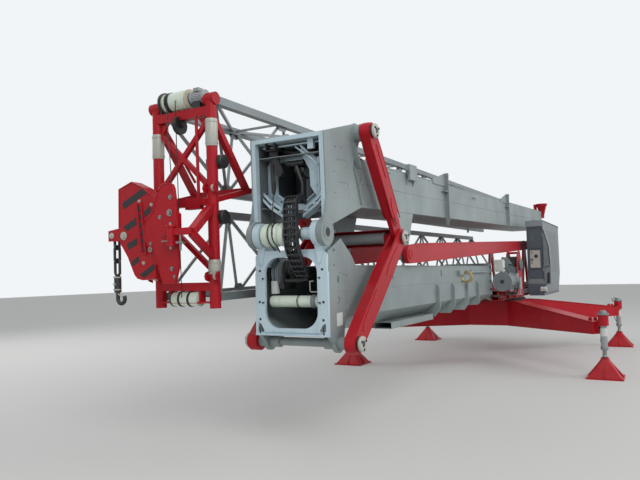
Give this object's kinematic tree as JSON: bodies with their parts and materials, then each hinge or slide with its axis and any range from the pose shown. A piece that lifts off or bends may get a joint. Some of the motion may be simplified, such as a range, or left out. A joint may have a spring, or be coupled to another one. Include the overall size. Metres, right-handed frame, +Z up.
{
  "type": "self-erecting tower crane",
  "caption": "Self-erecting tower crane folded on its jacks: box mast in two halves with red link arms at the knee, and a lattice jib with hook block beside it.",
  "frame": {"origin": "on the ground on the slewing axis, midway between the jacks", "axes": "+X towards the knee end of the folded masts, +Y towards the control cabinet, +Z up"},
  "size_m": [13.1475, 5.04, 3.7599],
  "materials": {
    "red_paint": "satin gloss paint, a little dusty",
    "galvanised": "matt hot-dip galvanised sheet with soft spangle",
    "plate_zinc": "pale blue-grey zinc on the machined end frames",
    "jack_steel": "grey paint with a white band",
    "pin_steel": "greased turned steel",
    "dark_steel": "dark oiled steel",
    "cabinet_grey": "powder-coated steel sheet",
    "cabinet_dark": "dark coated door",
    "box_white": "pale moulded housing",
    "roller_ivory": "ivory cast polyamide",
    "drum_beige": "beige polymer",
    "chain_black": "black moulded chain links",
    "motor_grey": "grey painted casting"
  },
  "bodies": {
    "chassis": {"chassis_hub": "red_paint", "chassis_arms": "red_paint", "jack_tubes": "jack_steel", "slewing_ring": "dark_steel"},
    "platform": {"platform_frame": "red_paint", "arm_posts": "red_paint", "foot_pins": "pin_steel", "hoist_motor": "motor_grey", "junction_box": "box_white", "cabinet": "cabinet_grey"},
    "cabinet_door": {"cabinet_door": "cabinet_dark"},
    "lower_mast": {"lower_mast_box": "galvanised", "lower_mast_end": "plate_zinc", "mast_foot_frame": "galvanised", "cross_pins": "pin_steel", "lower_link_axle": "galvanised", "mast_ribs": "galvanised", "cable_chain": "chain_black"},
    "mast_roller": {"mast_roller": "roller_ivory"},
    "knee_pulley": {"knee_pulley": "roller_ivory"},
    "lower_links": {"lower_links": "red_paint"},
    "upper_links": {"upper_links": "red_paint"},
    "long_arms": {"long_arms": "red_paint"},
    "upper_mast": {"upper_mast_box": "galvanised", "upper_mast_end": "plate_zinc", "knee_plates": "galvanised", "mast_brackets": "galvanised", "mast_head": "red_paint"},
    "jib": {"jib_inner_section": "galvanised", "jib_outer_section": "galvanised", "jib_end_frame": "red_paint", "drum_gearbox": "dark_steel", "hook_block": "red_paint", "hook_housing": "red_paint"},
    "rope_drum": {"rope_drum": "drum_beige"},
    "jib_roller": {"jib_roller": "roller_ivory"},
    "load_hook": {"load_hook": "dark_steel"},
    "jack_front_near": {"jack_rod_front_near": "pin_steel", "foot_pad_front_near": "red_paint"},
    "jack_front_far": {"jack_rod_front_far": "pin_steel", "foot_pad_front_far": "red_paint"},
    "jack_rear_near": {"jack_rod_rear_near": "pin_steel", "foot_pad_rear_near": "red_paint"},
    "jack_rear_far": {"jack_rod_rear_far": "pin_steel", "foot_pad_rear_far": "red_paint"}
  },
  "joints": [
    {"name": "slew", "type": "hinge", "parent": "chassis", "child": "platform", "pos_m": [0, 0, 1.2], "axis": [0, 0, 1], "range_deg": [-180, 180]},
    {"name": "jack_front_near_slide", "type": "slide", "parent": "chassis", "child": "jack_front_near", "axis": [0, 0, 1], "range_m": [-0.35, 0.06]},
    {"name": "jack_front_far_slide", "type": "slide", "parent": "chassis", "child": "jack_front_far", "axis": [0, 0, 1], "range_m": [-0.35, 0.06]},
    {"name": "jack_rear_near_slide", "type": "slide", "parent": "chassis", "child": "jack_rear_near", "axis": [0, 0, 1], "range_m": [-0.35, 0.06]},
    {"name": "jack_rear_far_slide", "type": "slide", "parent": "chassis", "child": "jack_rear_far", "axis": [0, 0, 1], "range_m": [-0.35, 0.06]},
    {"name": "mast_raise", "type": "hinge", "parent": "platform", "child": "lower_mast", "pos_m": [1.6, 0, 1.29], "axis": [0, -1, 0], "range_deg": [0, 90]},
    {"name": "knee_unfold", "type": "hinge", "parent": "lower_mast", "child": "upper_mast", "pos_m": [8.15, 0, 2.14], "axis": [0, 1, 0], "range_deg": [0, 178.05]},
    {"name": "lower_link_swing", "type": "hinge", "parent": "lower_mast", "child": "lower_links", "pos_m": [7.93, 0, 1.105], "axis": [0, 1, 0], "range_deg": [0, 83.2]},
    {"name": "upper_link_swing", "type": "hinge", "parent": "lower_links", "child": "upper_links", "pos_m": [6.75, 0, 2.14], "axis": [0, 1, 0], "range_deg": [0, 60.15]},
    {"name": "long_arm_swing", "type": "hinge", "parent": "platform", "child": "long_arms", "pos_m": [-1.55, 0, 2.32476], "axis": [0, -1, 0], "range_deg": [0, 77.18]},
    {"name": "jib_luff", "type": "hinge", "parent": "upper_mast", "child": "jib", "pos_m": [-4.23104, 0, 3.20191], "axis": [0, -1, 0], "range_deg": [0, 90]},
    {"name": "knee_pulley_spin", "type": "hinge", "parent": "lower_mast", "child": "knee_pulley", "pos_m": [8.15, -0.15, 2.14], "axis": [0, 1, 0], "continuous": true},
    {"name": "mast_roller_spin", "type": "hinge", "parent": "lower_mast", "child": "mast_roller", "pos_m": [8.01, 0, 1.5], "axis": [0, 1, 0], "continuous": true},
    {"name": "rope_drum_spin", "type": "hinge", "parent": "jib", "child": "rope_drum", "pos_m": [8.40063, -1.15, 3.536], "axis": [0, 1, 0], "continuous": true},
    {"name": "jib_roller_spin", "type": "hinge", "parent": "jib", "child": "jib_roller", "pos_m": [8.36579, -1.07, 1.5403], "axis": [0, 1, 0], "continuous": true},
    {"name": "hook_swing", "type": "hinge", "parent": "jib", "child": "load_hook", "pos_m": [8.64218, -1.754, 2.19057], "axis": [0.9998, 0, -0.0175], "range_deg": [-20, 20]},
    {"name": "cabinet_door_hinge", "type": "hinge", "parent": "platform", "child": "cabinet_door", "pos_m": [-0.488, 0.949, 2], "axis": [0, 0, 1], "range_deg": [0, 110]}
  ],
  "couplings": [
    {"joint": "knee_unfold", "follows": "mast_raise", "ratio": 1.9783},
    {"joint": "lower_link_swing", "follows": "mast_raise", "ratio": 0.92449},
    {"joint": "upper_link_swing", "follows": "mast_raise", "ratio": 0.66838},
    {"joint": "long_arm_swing", "follows": "mast_raise", "ratio": 0.85755}
  ]
}
